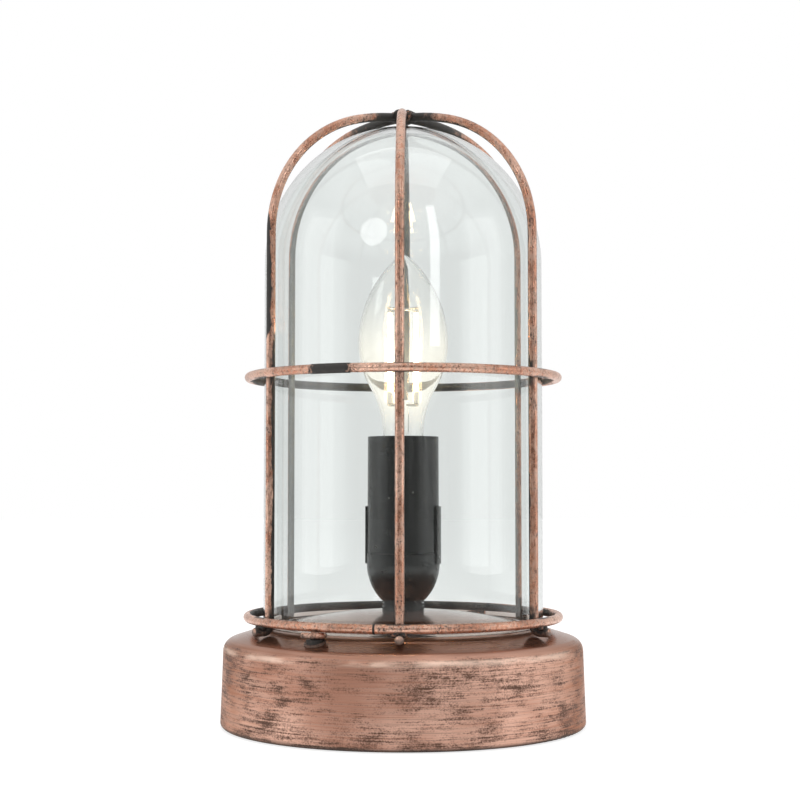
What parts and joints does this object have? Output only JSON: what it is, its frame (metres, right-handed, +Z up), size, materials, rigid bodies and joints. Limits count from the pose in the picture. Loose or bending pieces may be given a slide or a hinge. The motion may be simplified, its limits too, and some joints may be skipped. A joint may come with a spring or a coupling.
{
  "type": "table lamp",
  "caption": "Caged table lamp: a domed copper base carries a candle lampholder under a round-topped glass dome, and a hooped wire cage over the glass lifts off to change the bulb.",
  "frame": {"origin": "on the lamp's axis, on the table that its felt pads stand on", "axes": "+Z up along the lamp's axis, -Y to the front that the picture shows, cord inlet towards +Y"},
  "size_m": [0.1406, 0.142, 0.2401],
  "materials": {
    "antique_copper": "spun steel with an antiqued copper plating",
    "copper_wire": "copper-plated steel wire with dark patina",
    "clear_glass": "clear blown glass",
    "bulb_glass": "clear thin glass",
    "black_thermoplastic": "moulded black thermoplastic",
    "zinc_steel": "zinc plated",
    "felt": "self-adhesive felt",
    "grommet_rubber": "moulded black rubber",
    "steatite": "unglazed",
    "contact_brass": "stamped and turned brass",
    "white_nylon": "moulded nylon",
    "brown_jacket": "insulated wire",
    "blue_jacket": "insulated wire",
    "nickel_plate": "nickel plated",
    "black_vitrite": "black fused glass",
    "led_phosphor": "lit phosphor-coated filaments",
    "circuit_board": "small driver board"
  },
  "bodies": {
    "base": {"base_pan": "antique_copper", "base_cover": "zinc_steel", "cover_pillars": "zinc_steel", "cover_screws": "zinc_steel", "felt_pads": "felt", "cord_grommet": "grommet_rubber", "lampholder_nipple": "zinc_steel", "nipple_washer": "zinc_steel", "nipple_nut": "zinc_steel", "lampholder_cap": "black_thermoplastic", "lampholder_skirt": "black_thermoplastic", "lampholder_insert": "steatite", "holder_terminals": "contact_brass", "centre_contact_spring": "contact_brass", "sleeve_contact": "contact_brass", "thread_sleeve": "contact_brass", "terminal_block": "white_nylon", "terminal_barrels": "contact_brass", "terminal_screws": "zinc_steel", "terminal_block_screw": "zinc_steel", "live_wire": "brown_jacket", "neutral_wire": "blue_jacket", "locating_posts": "antique_copper", "post_washers": "antique_copper"},
    "glass": {"glass_dome": "clear_glass"},
    "cage": {"cage_hoop": "copper_wire", "cage_front_rib": "copper_wire", "cage_right_rib": "copper_wire", "cage_back_rib": "copper_wire", "cage_left_rib": "copper_wire", "cage_crown_weld": "copper_wire", "cage_mid_ring": "copper_wire", "cage_base_ring": "copper_wire", "cage_front_hook": "copper_wire", "cage_back_hook": "copper_wire"},
    "bulb_foot": {"bulb_contact": "contact_brass", "bulb_insulator": "black_vitrite"},
    "bulb": {"bulb_envelope": "bulb_glass", "bulb_cap": "nickel_plate", "bulb_stem": "bulb_glass", "led_filaments": "led_phosphor", "filament_supports": "nickel_plate", "led_driver": "circuit_board"}
  },
  "joints": [
    {"name": "guard_lift", "type": "slide", "parent": "base", "child": "glass", "axis": [0, 0, 1], "range_m": [0, 0.18]},
    {"name": "cage_twist", "type": "hinge", "parent": "glass", "child": "cage", "pos_m": [0, 0, 0], "axis": [0, 0, 1], "range_deg": [0, 22]},
    {"name": "bulb_rise", "type": "slide", "parent": "base", "child": "bulb_foot", "axis": [0, 0, 1], "range_m": [0, 0.0142]},
    {"name": "bulb_turn", "type": "hinge", "parent": "bulb_foot", "child": "bulb", "pos_m": [0, 0, 0], "axis": [0, 0, 1], "range_deg": [0, 1800]}
  ],
  "couplings": [
    {"joint": "bulb_rise", "follows": "bulb_turn", "m_per_rad": 0.00044913}
  ]
}
